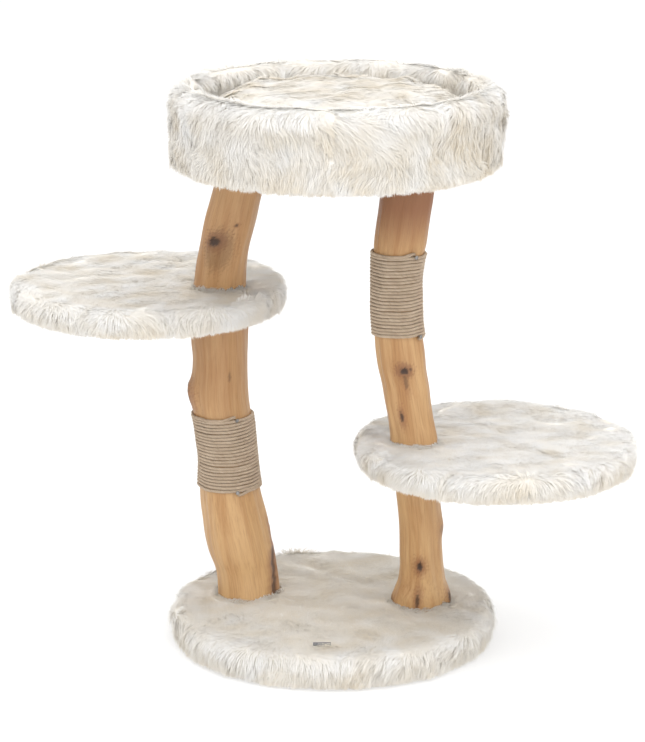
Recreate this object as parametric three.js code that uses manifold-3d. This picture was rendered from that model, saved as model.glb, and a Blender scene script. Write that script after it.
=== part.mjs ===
// A cat tree: two posts of natural trunk wood on a round base carry two side platforms and a raised
// bed. The base, the platforms and the bed are boards covered in long-pile plush. Each post is two
// trunk pieces, joined by a stud through the platform between them, and a rope is wound round one
// piece of each. A loose cushion lies in the bed.
//
// Millimetres, +Z up. The origin is on the floor, at the centre of the base. -Y is the front.

import * as THREE from "three";
import { mergeVertices } from "three/addons/utils/BufferGeometryUtils.js";
import Module from "manifold-3d";

const wasm = await Module();
wasm.setup();

const deg = Math.PI / 180;

// ---------------------------------------------------------------- driving dimensions

const gap = 0.3; // between solids that touch
const plush = { backing: 1.5, pile: 13.5, hemWidth: 30, hemPile: 11 };
const felt = { platform: 1.5, base: 2.7 }; // thickness of the underside cloths

const base = { diameter: 500, board: 36, rounding: 20, footRounding: 24, x: 0, y: 0, z: 0 };
const leftPlatform = { diameter: 429, board: 20, rounding: 21, x: -282, y: 133, z: 482 };
const rightPlatform = { diameter: 429, board: 20, rounding: 21, x: 245, y: -16, z: 275 };
const bed = {
  diameter: 500,
  board: 18,
  height: 124.5,
  footRounding: 20,
  rimRounding: 30, // of the rim's outer edge
  liningRounding: 16, // of the rim's inner edge
  foam: 20, // thickness of the rim's foam ring
  liningPile: 10, // the plush inside the rim is flattened by the cushion
  x: 5,
  y: 1,
  z: 730,
};
const cushion = {
  sideClearance: 2,
  shell: 12, // plush and quilting round the filling
  seam: { length: 160, width: 3 }, // left open to take the filling out
  // [share of its radius, height] from its underside up its edge and over its crown
  outline: [[0, 0], [0.9, 0], [0.97, 16], [1, 40], [0.94, 62], [0.8, 71], [0.5, 77], [0, 79]],
};

const bolt = { diameter: 8, reach: 50, headAcross: 13, headHeight: 5.3, holeClearance: 0.5 };
const washer = { diameter: 24, thickness: 1.6 };
const counterbore = { sideClearance: 2, baseCover: 4.5, bedCover: 1.5 };
const insert = { wall: 1.7, length: 30, setBack: 1, boreBeyond: 4 };

const rope = { diameter: 5 };
const nail = { shank: 2, length: 18, head: 6, headHeight: 1, fromEnd: 3 };
const tag = { width: 26, depth: 11, thickness: 1, x: -16, fromEdge: 54 };

// A trunk piece's path: [share of its length, x and y from the middle of its foot, radius].
// Its cross-section is oval by ovalShare and three-sided by triShare, turned by the two angles.
// Each burl is a rounded lump: where it is, how far it stands out and how far it spreads, in
// millimetres along the piece and in radians around it.
const leftLower = {
  rows: 18,
  ovalShare: 0.03,
  ovalTurn: 45 * deg,
  triShare: 0.03,
  triTurn: 30 * deg,
  path: [
    [0, 0, 0, 49],
    [0.1, -4, 4, 47],
    [0.2, -14, 8, 50.5],
    [0.34, -25, 14, 46.4],
    [0.42, -29, 17.5, 43.5],
    [0.51, -31.5, 21, 42],
    [0.62, -38, 25, 42],
    [0.7, -42, 29, 42],
    [0.8, -42.5, 33, 41],
    [0.89, -43, 37, 42.4],
    [1, -43, 42, 43],
  ],
  burls: [{ share: 0.72, angle: 186 * deg, height: 10, along: 24, around: 0.5 }],
};
const leftUpper = {
  rows: 9,
  ovalShare: 0.03,
  ovalTurn: -45 * deg,
  triShare: 0.02,
  triTurn: -30 * deg,
  path: [
    [0, 0, 0, 39.5],
    [0.16, 4.5, -5, 38],
    [0.3, 9, -10, 37],
    [0.52, 19, -18, 38],
    [0.75, 31, -25, 36.8],
    [1, 44, -33, 37.5],
  ],
  burls: [{ share: 0.39, angle: 245 * deg, height: 5, along: 26, around: 0.6 }],
};
const rightLower = {
  rows: 10,
  ovalShare: 0.03,
  ovalTurn: 45 * deg,
  triShare: 0.02,
  triTurn: 30 * deg,
  path: [
    [0, 0, 0, 45],
    [0.11, 0, -4, 42],
    [0.24, 0, -10, 33.6],
    [0.4, -1.5, -17, 31.8],
    [0.62, -4, -27, 32.2],
    [1, -14, -44, 34],
  ],
  burls: [{ share: 0.57, angle: -8 * deg, height: 3, along: 12, around: 0.35 }],
};
const rightUpper = {
  rows: 18,
  ovalShare: 0.025,
  ovalTurn: -45 * deg,
  triShare: 0.03,
  triTurn: -30 * deg,
  path: [
    [0, 0, 0, 34.8],
    [0.07, -3.5, 1.5, 34.3],
    [0.14, -9.5, 3.5, 33.3],
    [0.21, -13.5, 5.5, 34.2],
    [0.28, -19, 7, 35],
    [0.36, -22.5, 9.5, 35.2],
    [0.42, -25.5, 11.5, 35],
    [0.52, -29, 14, 34],
    [0.62, -28, 16, 34.3],
    [0.69, -25, 18, 36],
    [0.74, -22, 20, 39],
    [0.87, -15.5, 23, 38.6],
    [1, -6, 27, 41.5],
  ],
  burls: [{ share: 0.29, angle: -95 * deg, height: 3, along: 14, around: 0.35 }],
};
const leftFoot = { x: -129, y: 43 };
const rightFoot = { x: 136, y: 3 };

// Where the rope's first turn lies above the trunk piece's foot, how many turns it makes, and the
// angles at which its two ends are nailed.
const leftWrap = { start: 176, turns: 23, lowNail: -75 * deg, highNail: -60 * deg };
const rightWrap = { start: 172, turns: 25, lowNail: -42 * deg, highNail: -54 * deg };

// How finely round shapes are drawn.
const sides = { board: 36, trunk: 18, washer: 12, hole: 10, hexagon: 6, nail: 8 };
const steps = { rounding: 3, wrap: 6 };

// ---------------------------------------------------------------- derived dimensions

const boltHole = bolt.diameter + 2 * bolt.holeClearance;
const insertDiameter = bolt.diameter + 2 * (gap + insert.wall);
const counterboreDiameter = washer.diameter + 2 * counterbore.sideClearance;
const headDepth = gap + washer.thickness + gap + bolt.headHeight;
const baseSink = headDepth + counterbore.baseCover;
const bedSink = headDepth + counterbore.bedCover;
const furDepth = gap + plush.backing + plush.pile; // from a board's edge to the tips of the plush

// The heights of a covered board's layers.
function layers(seat, hem) {
  const low = seat.z + hem;
  const high = low + seat.board;
  return { low, high, cloth: high + gap + plush.backing, top: high + furDepth };
}
const baseLayers = layers(base, felt.base + gap);
const leftLayers = layers(leftPlatform, plush.hemPile);
const rightLayers = layers(rightPlatform, plush.hemPile);
const bedLayers = layers(bed, plush.hemPile);

const boardRadius = (seat) => seat.diameter / 2 - furDepth;
const hemRadius = (seat) => boardRadius(seat) - plush.hemWidth;

// Values between the rows of a table whose first column is the share, by a smooth cubic.
function between(table, share) {
  const t = Math.min(Math.max(share, 0), 1);
  const i = Math.max(table.findIndex((row) => row[0] >= t) - 1, 0);
  const [a, b] = [table[i], table[i + 1]];
  const before = table[Math.max(i - 1, 0)];
  const after = table[Math.min(i + 2, table.length - 1)];
  const span = b[0] - a[0];
  const u = (t - a[0]) / span;
  return [1, 2, 3].map((c) => {
    const slopeA = ((b[c] - before[c]) / (b[0] - before[0])) * span;
    const slopeB = ((after[c] - a[c]) / (after[0] - a[0])) * span;
    return (
      a[c] * (1 + 2 * u) * (1 - u) ** 2 +
      slopeA * u * (1 - u) ** 2 +
      b[c] * u ** 2 * (3 - 2 * u) +
      slopeB * u ** 2 * (u - 1)
    );
  });
}

// Stands a trunk piece on one board and under the next one, and finds the middle of its head.
function stand(trunk, foot, below, above) {
  trunk.x = foot.x;
  trunk.y = foot.y;
  trunk.z = below.cloth + gap;
  trunk.length = above.low - gap - felt.platform - gap - trunk.z;
  const [x, y] = between(trunk.path, 1);
  trunk.head = { x: trunk.x + x, y: trunk.y + y, z: trunk.z + trunk.length };
}
stand(leftLower, leftFoot, baseLayers, leftLayers);
stand(leftUpper, leftLower.head, leftLayers, bedLayers);
stand(rightLower, rightFoot, baseLayers, rightLayers);
stand(rightUpper, rightLower.head, rightLayers, bedLayers);

// ---------------------------------------------------------------- materials

const finish = (color, roughness, metalness = 0) =>
  new THREE.MeshStandardMaterial({ color, roughness, metalness });
const materials = {
  trunk: finish(0xc9995f, 0.6),
  plush: finish(0xece6da, 0.95),
  rope: finish(0xa98f70, 0.9),
  board: finish(0xb08a5c, 0.8),
  felt: finish(0x4a4a48, 0.95),
  foam: finish(0xe8e0c8, 0.9),
  filling: finish(0xf4f2ee, 0.95),
  steel: finish(0xb9bbbd, 0.35, 1),
  tag: finish(0x77757a, 0.7),
};

// ---------------------------------------------------------------- solids

// A closed geometry as a manifold-3d solid.
function solid(geometry) {
  geometry.deleteAttribute("normal");
  geometry.deleteAttribute("uv");
  const merged = mergeVertices(geometry);
  return new wasm.Manifold(
    new wasm.Mesh({
      numProp: 3,
      vertProperties: new Float32Array(merged.attributes.position.array),
      triVerts: new Uint32Array(merged.index.array),
    }),
  );
}

// A manifold-3d solid as a named mesh.
function piece(name, shape, material) {
  const { vertProperties, triVerts } = shape.getMesh();
  const geometry = new THREE.BufferGeometry();
  geometry.setAttribute("position", new THREE.BufferAttribute(new Float32Array(vertProperties), 3));
  geometry.setIndex(new THREE.BufferAttribute(new Uint32Array(triVerts), 1));
  geometry.computeVertexNormals();
  const mesh = new THREE.Mesh(geometry, material);
  mesh.name = name;
  return mesh;
}

// A solid turned about Z from a profile of [radius, height] points. The profile has the solid on
// its left as it is walked, and starts and ends on the axis or closes on itself.
function turned(profile, count = sides.board) {
  const points = profile.map(([r, z]) => new THREE.Vector2(r, z));
  return solid(new THREE.LatheGeometry(points, count).rotateX(Math.PI / 2));
}

// Points of a profile along an arc about [r, z], between two angles.
function arc(r, z, radius, from, to) {
  return Array.from({ length: steps.rounding + 1 }, (_, i) => {
    const angle = (from + ((to - from) * i) / steps.rounding) * deg;
    return [r + radius * Math.cos(angle), z + radius * Math.sin(angle)];
  });
}

const disc = (radius, low, high, count = sides.board) =>
  turned([[0, low], [radius, low], [radius, high], [0, high]], count);

const ring = (inner, outer, low, high, count = sides.board) =>
  turned([[inner, low], [outer, low], [outer, high], [inner, high], [inner, low]], count);

const joined = (shapes) => shapes.reduce((all, shape) => all.add(shape));
const placed = (shape, place) => shape.translate([place.x, place.y, place.z]);
const seenFrom = (place, shape) => shape.translate([-place.x, -place.y, -place.z]);

function groupAt(place) {
  const group = new THREE.Group();
  group.position.set(place.x, place.y, place.z);
  return group;
}

// ---------------------------------------------------------------- trunk wood

// The trunk piece's radius at a share of its length and an angle about its middle.
function girth(trunk, share, angle) {
  const [, , radius] = between(trunk.path, share);
  const oval = trunk.ovalShare * Math.cos(2 * (angle - trunk.ovalTurn));
  const tri = trunk.triShare * Math.cos(3 * (angle - trunk.triTurn));
  const lumps = trunk.burls.map((burl) => {
    const off = angle - burl.angle;
    const along = ((share - burl.share) * trunk.length) / burl.along;
    const around = Math.atan2(Math.sin(off), Math.cos(off)) / burl.around;
    return burl.height * Math.exp(-(along ** 2) - around ** 2);
  });
  return radius * (1 + oval + tri) + lumps.reduce((sum, lump) => sum + lump, 0);
}

// The trunk piece between two shares of its length, grown sideways, in the frame of its foot. A
// share below 0 or above 1 carries its end straight on.
function trunkLength(trunk, from, to, rows, grow) {
  const geometry = new THREE.CylinderGeometry(1, 1, 1, sides.trunk, rows).rotateX(Math.PI / 2);
  const position = geometry.attributes.position;
  for (let i = 0; i < position.count; i += 1) {
    const [unitX, unitY] = [position.getX(i), position.getY(i)];
    const share = from + (to - from) * (position.getZ(i) + 1 / 2);
    const radius = girth(trunk, share, Math.atan2(unitY, unitX)) + grow;
    const [x, y] = between(trunk.path, share);
    position.setXYZ(i, x + radius * unitX, y + radius * unitY, share * trunk.length);
  }
  return solid(geometry);
}

// The room that a trunk piece needs in its neighbours, in the part's frame.
function trunkRoom(trunk) {
  const beyond = gap / trunk.length;
  return placed(trunkLength(trunk, -beyond, 1 + beyond, trunk.rows, gap), trunk);
}

// ---------------------------------------------------------------- fasteners

const studRod = (length) => disc(bolt.diameter / 2, 0, length, sides.hole);
const washerRing = () => ring(boltHole / 2, washer.diameter / 2, 0, washer.thickness, sides.washer);
const insertSleeve = () =>
  ring(bolt.diameter / 2 + gap, insertDiameter / 2, 0, insert.length, sides.hole);

// The blind hole up into a trunk piece for the threaded insert and the bolt.
const insertHole = () =>
  disc(insertDiameter / 2 + gap, -gap, bolt.reach + insert.boreBeyond, sides.hole);

// A hexagon bolt that points along +Z from the underside of its head.
function hexBolt(length) {
  const corner = bolt.headAcross / 2 / Math.cos(Math.PI / sides.hexagon);
  return disc(corner, -bolt.headHeight, 0, sides.hexagon).add(studRod(length));
}

// A nail that points along -Z from the underside of its head, grown by grow on every side.
function nailShape(grow = 0) {
  const shank = disc(nail.shank / 2 + grow, -nail.length - grow, 0, sides.nail);
  return shank.add(disc(nail.head / 2 + grow, -grow, nail.headHeight + grow, sides.nail));
}

// Upright holes in a seat at the given places, between two heights of the part's frame.
function drilled(seat, places, diameter, low, high) {
  const drill = disc(diameter / 2, low, high, sides.hole);
  return seenFrom(seat, joined(places.map(({ x, y }) => placed(drill, { x, y, z: 0 }))));
}

// Holes straight through a seat for its bolts.
const boltHoles = (seat, places, diameter = boltHole) =>
  drilled(seat, places, diameter, seat.z - gap, bed.z + bed.height);

// A bolt and its washer at the end of a counterbore, into the trunk end at that height. The bolt
// points up into a foot and down into a head.
function boltAndWasher(name, place, sinkEnd, trunkEnd) {
  const group = groupAt({ ...place, z: sinkEnd });
  if (trunkEnd < sinkEnd) group.rotation.x = Math.PI;
  const ringMesh = piece(`${name}_washer`, washerRing(), materials.steel);
  ringMesh.position.z = -gap - washer.thickness;
  const length = Math.abs(trunkEnd - sinkEnd) + bolt.reach;
  const boltMesh = piece(`${name}_bolt`, hexBolt(length), materials.steel);
  boltMesh.position.z = ringMesh.position.z - gap;
  group.add(ringMesh, boltMesh);
  return group;
}

// The stud that joins two trunk pieces through the platform between them.
function stud(name, lower, upper) {
  const foot = lower.head.z - bolt.reach;
  const mesh = piece(name, studRod(upper.z + bolt.reach - foot), materials.steel);
  mesh.position.set(upper.x, upper.y, foot);
  return mesh;
}

// ---------------------------------------------------------------- base and platforms

// The plush over the top and the edge of a board, with its hem turned in underneath.
function discCover(seat, seatLayers, lowRounding) {
  const [radius, inside, hem] = [seat.diameter / 2, boardRadius(seat) + gap, hemRadius(seat)];
  const [low, high] = [seatLayers.low - gap - seat.z, seatLayers.high + gap - seat.z];
  const top = seatLayers.top - seat.z;
  const rounding = Math.min(seat.rounding, top - lowRounding);
  return turned([
    [0, high],
    [inside, high],
    [inside, low],
    [hem, low],
    [hem, 0],
    ...arc(radius - lowRounding, lowRounding, lowRounding, -90, 0),
    ...arc(radius - rounding, top - rounding, rounding, 0, 90),
    [0, top],
  ]);
}

// A board, its plush and the felt under it, with holes for its bolts and room for its trunks.
function coveredBoard(name, seat, seatLayers, options) {
  const group = groupAt(seat);
  const holes = boltHoles(seat, options.bolts);
  const rooms = seenFrom(seat, joined(options.trunks.map(trunkRoom)));
  const [low, high] = [seatLayers.low - seat.z, seatLayers.high - seat.z];
  const board = disc(boardRadius(seat), low, high).subtract(holes);
  const cover = discCover(seat, seatLayers, options.lowRounding).subtract(rooms).subtract(holes);
  const lining = disc(hemRadius(seat) - gap, low - gap - options.felt, low - gap);
  const liningHoles = boltHoles(seat, options.bolts, options.feltHole);
  group.add(
    piece(`${name}_board`, options.sinks ? board.subtract(options.sinks) : board, materials.board),
    piece(`${name}_plush_cover`, cover, materials.plush),
    piece(`${name}_felt_underside`, lining.subtract(liningHoles), materials.felt),
  );
  return group;
}

function baseGroup() {
  const feet = [leftLower, rightLower];
  return coveredBoard("base", base, baseLayers, {
    trunks: feet,
    bolts: feet,
    sinks: drilled(base, feet, counterboreDiameter, baseLayers.low - gap, baseLayers.low + baseSink),
    lowRounding: base.footRounding,
    felt: felt.base,
    feltHole: counterboreDiameter,
  });
}

const platformGroup = (name, seat, seatLayers, lower, upper) =>
  coveredBoard(name, seat, seatLayers, {
    trunks: [lower, upper],
    bolts: [upper],
    lowRounding: seat.rounding,
    felt: felt.platform,
    feltHole: boltHole,
  });

// ---------------------------------------------------------------- bed and cushion

// The plush of the bed: over the outside, the rim and the lining of its foam ring, hemmed below.
function bedCover(low, high, foamInner, foamTop, inner) {
  const outer = bed.diameter / 2;
  const { footRounding: foot, rimRounding: rim, height } = bed;
  const lining = Math.min(bed.liningRounding, outer - rim - inner);
  return turned([
    [inner, high + gap],
    [foamInner - gap, high + gap],
    [foamInner - gap, foamTop + gap],
    [boardRadius(bed) + gap, foamTop + gap],
    [boardRadius(bed) + gap, low - gap],
    [hemRadius(bed), low - gap],
    [hemRadius(bed), 0],
    ...arc(outer - foot, foot, foot, -90, 0),
    ...arc(outer - rim, height - rim, rim, 0, 90),
    ...arc(inner + lining, height - lining, lining, 90, 180),
    [inner, high + gap],
  ]);
}

function bedGroup() {
  const group = groupAt(bed);
  const heads = [leftUpper.head, rightUpper.head];
  const [low, high] = [bedLayers.low - bed.z, bedLayers.high - bed.z];
  const foamInner = boardRadius(bed) - bed.foam;
  const foamTop = bed.height - furDepth;
  const inner = foamInner - gap - plush.backing - bed.liningPile;
  const holes = boltHoles(bed, heads);
  const [sinkEnd, sinkTop] = [bedLayers.high - bedSink, bedLayers.high + gap];
  const sinks = drilled(bed, heads, counterboreDiameter, sinkEnd, sinkTop);
  const rooms = seenFrom(bed, joined([leftUpper, rightUpper].map(trunkRoom)));
  const board = disc(boardRadius(bed), low, high).subtract(holes).subtract(sinks);
  const foam = ring(foamInner, boardRadius(bed), high + gap, foamTop);
  const cover = bedCover(low, high, foamInner, foamTop, inner).subtract(rooms);
  const lining = disc(hemRadius(bed) - gap, low - gap - felt.platform, low - gap).subtract(holes);
  group.add(
    piece("bed_board", board, materials.board),
    piece("bed_rim_foam", foam, materials.foam),
    piece("bed_plush_cover", cover, materials.plush),
    piece("bed_felt_underside", lining, materials.felt),
    cushionGroup(inner - cushion.sideClearance, high + gap),
  );
  return group;
}

// The cushion's outline for a radius, drawn in at the edge and the crown, on a raised floor.
function cushionShape(radius, drawnIn, floor) {
  const crown = Math.max(...cushion.outline.map(([, height]) => height));
  const squeeze = (crown - drawnIn - floor) / crown;
  return turned(cushion.outline.map(([r, z]) => [r * (radius - drawnIn), floor + z * squeeze]));
}

function cushionGroup(radius, height) {
  const group = groupAt({ x: 0, y: 0, z: height });
  const hollow = cushionShape(radius, cushion.shell, plush.backing);
  const { length, width } = cushion.seam;
  const seam = solid(new THREE.BoxGeometry(length, width, 2 * (plush.backing + gap)));
  const cover = cushionShape(radius, 0, 0)
    .subtract(hollow)
    .subtract(seam.translate([0, radius / 2, 0]));
  const filling = cushionShape(radius, cushion.shell + gap, plush.backing + gap);
  group.add(
    piece("cushion_plush_cover", cover, materials.plush),
    piece("cushion_filling", filling, materials.filling),
  );
  return group;
}

// ---------------------------------------------------------------- posts, ropes and their nails

// A shape that points along -Z, turned to point into a trunk piece through its rope.
function driven(shape, trunk, height, angle) {
  const share = height / trunk.length;
  const [x, y] = between(trunk.path, share);
  const out = girth(trunk, share, angle) + gap + rope.diameter + gap;
  return shape
    .rotate([0, 90, 0])
    .translate([out, 0, 0])
    .rotate([0, 0, angle / deg])
    .translate([x, y, height]);
}

// The rope wound round a trunk piece, as one sleeve of its outer shape.
function ropeSleeve(trunk, wrap) {
  const height = wrap.turns * rope.diameter;
  const [from, to] = [wrap.start, wrap.start + height].map((z) => z / trunk.length);
  return trunkLength(trunk, from, to, steps.wrap, gap + rope.diameter)
    .subtract(trunkLength(trunk, 0, 1, trunk.rows, gap));
}

function trunkGroup(name, trunk, wrap) {
  const group = groupAt(trunk);
  const [headX, headY] = between(trunk.path, 1);
  let wood = trunkLength(trunk, 0, 1, trunk.rows, 0)
    .subtract(insertHole())
    .subtract(insertHole().rotate([180, 0, 0]).translate([headX, headY, trunk.length]));
  if (wrap) {
    const top = wrap.start + wrap.turns * rope.diameter;
    let sleeve = ropeSleeve(trunk, wrap);
    for (const [end, height, angle] of [
      ["low", wrap.start + nail.fromEnd, wrap.lowNail],
      ["high", top - nail.fromEnd, wrap.highNail],
    ]) {
      const room = driven(nailShape(gap), trunk, height, angle);
      wood = wood.subtract(room);
      sleeve = sleeve.subtract(room);
      const nailSolid = driven(nailShape(), trunk, height, angle);
      group.add(piece(`${name}_rope_nail_${end}`, nailSolid, materials.steel));
    }
    group.add(piece(`${name}_rope_wrap`, sleeve, materials.rope));
  }
  const low = piece(`${name}_insert_low`, insertSleeve(), materials.steel);
  low.position.z = insert.setBack;
  const high = piece(`${name}_insert_high`, insertSleeve(), materials.steel);
  high.position.set(headX, headY, trunk.length - insert.setBack - insert.length);
  group.add(piece(name, wood, materials.trunk), low, high);
  return group;
}

// ---------------------------------------------------------------- the cat tree

function blankTag() {
  const plate = solid(new THREE.BoxGeometry(tag.width, tag.depth, tag.thickness));
  const mesh = piece("base_blank_tag", plate, materials.tag);
  mesh.position.set(tag.x, tag.fromEdge - base.diameter / 2, baseLayers.top + gap + tag.thickness / 2);
  return mesh;
}

const catTree = new THREE.Group();
catTree.name = "cat_tree";
catTree.add(
  baseGroup(),
  platformGroup("left_platform", leftPlatform, leftLayers, leftLower, leftUpper),
  platformGroup("right_platform", rightPlatform, rightLayers, rightLower, rightUpper),
  bedGroup(),
  trunkGroup("left_lower_trunk", leftLower, leftWrap),
  trunkGroup("left_upper_trunk", leftUpper),
  trunkGroup("right_lower_trunk", rightLower),
  trunkGroup("right_upper_trunk", rightUpper, rightWrap),
  stud("left_platform_stud", leftLower, leftUpper),
  stud("right_platform_stud", rightLower, rightUpper),
  boltAndWasher("base_left", leftLower, baseLayers.low + baseSink, leftLower.z),
  boltAndWasher("base_right", rightLower, baseLayers.low + baseSink, rightLower.z),
  boltAndWasher("bed_left", leftUpper.head, bedLayers.high - bedSink, leftUpper.head.z),
  boltAndWasher("bed_right", rightUpper.head, bedLayers.high - bedSink, rightUpper.head.z),
  blankTag(),
);

export default catTree;
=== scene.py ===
import math
import bpy
import numpy as np
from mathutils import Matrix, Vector


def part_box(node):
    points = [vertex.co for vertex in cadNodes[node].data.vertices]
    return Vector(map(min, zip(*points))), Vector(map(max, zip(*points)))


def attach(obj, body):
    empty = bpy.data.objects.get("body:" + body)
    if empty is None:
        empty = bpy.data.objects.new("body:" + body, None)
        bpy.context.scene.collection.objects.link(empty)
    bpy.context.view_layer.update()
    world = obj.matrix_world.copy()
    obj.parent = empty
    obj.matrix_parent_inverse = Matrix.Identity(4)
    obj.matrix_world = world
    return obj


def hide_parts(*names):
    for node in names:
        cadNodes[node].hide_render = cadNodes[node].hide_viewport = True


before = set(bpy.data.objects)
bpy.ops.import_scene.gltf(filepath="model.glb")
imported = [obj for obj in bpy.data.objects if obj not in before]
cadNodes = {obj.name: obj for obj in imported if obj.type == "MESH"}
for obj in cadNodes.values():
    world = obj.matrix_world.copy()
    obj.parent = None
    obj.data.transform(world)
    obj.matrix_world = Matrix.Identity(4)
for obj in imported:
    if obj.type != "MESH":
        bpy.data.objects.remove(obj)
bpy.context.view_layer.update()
mm = 0.001
turn = 2 * math.pi
goldenAngle = 2.399963
stripPoints = 5  # a flat strip has two points on each side and one at its tip

# arrays, noise and meshes


def softNoise(points, size, seed, count=22):
    # a sum of plane waves in random directions, each about size long; about -1 to 1
    rng = np.random.default_rng(seed)
    wave = rng.normal(size=(count, 3))
    wave *= (turn / size * rng.uniform(0.6, 1.5, count) / np.linalg.norm(wave, axis=1))[:, None]
    phase = rng.uniform(0, turn, count)
    return np.sin(points @ wave.T + phase).sum(-1) * math.sqrt(1.2 / count)


def softStep(low, high, x):
    # 0 below low, 1 above high, a cubic between
    t = np.clip((x - low) / (high - low), 0, 1)
    return t * t * (3 - 2 * t)


def softField(points, size, seed):
    # three noises as one direction at each point
    return np.stack([softNoise(points, size, seed + k) for k in range(3)], -1)


def angleOff(angle, at):
    # the turn from one angle to the other, from minus half a turn to half a turn
    return np.angle(np.exp(1j * (angle - at)))


def unit(v):
    # the direction of each row of v, one long
    return v / np.maximum(np.linalg.norm(v, axis=-1, keepdims=True), 1e-12)


def cubicRows(table, at):
    # a smooth cubic through rows of a table at whole numbers, read at fractional places
    last = len(table) - 1
    i = np.clip(np.floor(at).astype(int), 0, last - 1)
    u = (at - i).reshape(-1, *[1] * (table.ndim - 1))
    p0, p1 = table[np.maximum(i - 1, 0)], table[i]
    p2, p3 = table[i + 1], table[np.minimum(i + 2, last)]
    a = -p0 + 3 * p1 - 3 * p2 + p3
    return 0.5 * (2 * p1 + (p2 - p0) * u + (2 * p0 - 5 * p1 + 4 * p2 - p3) * u**2 + a * u**3)


def gridFaces(rows, columns):
    # quads of a rows by columns grid of points, its last column joined to its first
    i, j = np.meshgrid(np.arange(rows - 1), np.arange(columns), indexing="ij")
    here, beside = i * columns + j, i * columns + (j + 1) % columns
    return np.stack([here, beside, beside + columns, here + columns], -1).reshape(-1, 4)


def poleFaces(first, columns, pole, up):
    # a fan of triangles from a ring of points to one pole
    j = np.arange(columns)
    k = (j + 1) % columns
    ends = (first + j, first + k) if up else (first + k, first + j)
    return np.stack([*ends, np.full(columns, pole)], -1)


def capFaces(rows, columns):
    # the fans that close both ends of such a grid, with its two poles after its points
    poles = rows * columns
    first, last = poleFaces(0, columns, poles, False), poleFaces(poles - columns, columns, poles + 1, True)
    return np.concatenate([first, last])


def stripFaces(count):
    # the quad and the triangle of each of a row of strips
    first = np.arange(count)[:, None, None] * stripPoints
    return first + np.array([[0, 1, 3, 2]]), first + np.array([[1, 4, 3]])


def makeMesh(name, points, quads, triangles=(), maps=None, values=None, smooth=True):
    # a piece with maps and named values given for each point
    mesh = bpy.data.meshes.new(name)
    quads = np.asarray(quads, np.int32).reshape(-1, 4)
    triangles = np.asarray(triangles, np.int32).reshape(-1, 3)
    corners = np.concatenate([quads.ravel(), triangles.ravel()])
    sizes = np.concatenate([np.full(len(quads), 4), np.full(len(triangles), 3)])
    mesh.vertices.add(len(points))
    mesh.vertices.foreach_set("co", np.asarray(points, np.float32).ravel())
    mesh.loops.add(len(corners))
    mesh.loops.foreach_set("vertex_index", corners)
    mesh.polygons.add(len(sizes))
    mesh.polygons.foreach_set("loop_start", np.concatenate([[0], np.cumsum(sizes)[:-1]]).astype(np.int32))
    mesh.polygons.foreach_set("use_smooth", np.full(len(sizes), smooth))
    mesh.update(calc_edges=True)
    for key, uv in (maps or {}).items():
        layer = mesh.uv_layers.new(name=key)
        layer.uv.foreach_set("vector", np.asarray(uv, np.float32)[corners].ravel())
    for key, value in (values or {}).items():
        wide = np.ndim(value) > 1
        data = mesh.attributes.new(key, "FLOAT_VECTOR" if wide else "FLOAT", "POINT").data
        data.foreach_set("vector" if wide else "value", np.asarray(value, np.float32).ravel())
    mesh.validate()
    piece = bpy.data.objects.new(name, mesh)
    bpy.context.scene.collection.objects.link(piece)
    return piece


def finishPiece(piece, body, material, slotName, *nodes):
    # its one material, its body and the plain pieces that it stands for; the slot name is not used
    piece.data.materials.clear()
    piece.data.materials.append(material)
    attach(piece, body)
    if nodes:
        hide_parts(*nodes)
    return piece


def cadPoints(node):
    # the different points of a plain piece
    mesh = cadNodes[node].data
    points = np.empty(len(mesh.vertices) * 3)
    mesh.vertices.foreach_get("co", points)
    return np.unique(np.round(points.reshape(-1, 3), 6), axis=0)


# materials


def setSocket(socket, value):
    # an output of another node is linked to the socket, anything else is its fixed value
    if isinstance(value, bpy.types.NodeSocket):
        socket.id_data.links.new(value, socket)
    else:
        socket.default_value = value


def nodeMaterial(name, roughness=0.8, **sockets):
    # a new material with its shader's sockets set, where an underscore stands for a space
    material = bpy.data.materials.new(name)
    material.use_nodes = True
    shader = material.node_tree.nodes["Principled BSDF"]
    setSocket(shader.inputs["Roughness"], roughness)
    for key, value in sockets.items():
        setSocket(shader.inputs[key.replace("_", " ")], value)
    return material, material.node_tree.nodes, shader


def addNode(nodes, kind, inputs=None, **settings):
    # one shader node: its settings first, because they decide which sockets it has
    node = nodes.new("ShaderNode" + kind)
    for key, value in settings.items():
        setattr(node, key, value)
    for key, value in (inputs or {}).items():
        setSocket(node.inputs[key], value)
    return node


def colourRamp(nodes, value, stops):
    # a value turned into colour by stops, each a place from 0 to 1 and its colour
    ramp = addNode(nodes, "ValToRGB", {0: value})
    elements = ramp.color_ramp.elements
    while len(elements) < len(stops):
        elements.new(0.5)
    for element, (place, colour) in zip(elements, stops):
        element.position = place
        element.color = (*colour, 1)
    return ramp.outputs[0]


def mixColour(nodes, share, first, second, **settings):
    # first at a share of 0, second at a share of 1
    inputs = {"Factor": share, 6: first, 7: second}
    return addNode(nodes, "Mix", inputs, data_type="RGBA", **settings).outputs[2]


def addBump(nodes, shader, height, strength, distance):
    # relief from a height, distance metres deep
    bump = addNode(nodes, "Bump", {"Strength": strength, "Distance": distance, "Height": height})
    setSocket(shader.inputs["Normal"], bump.outputs[0])


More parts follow.
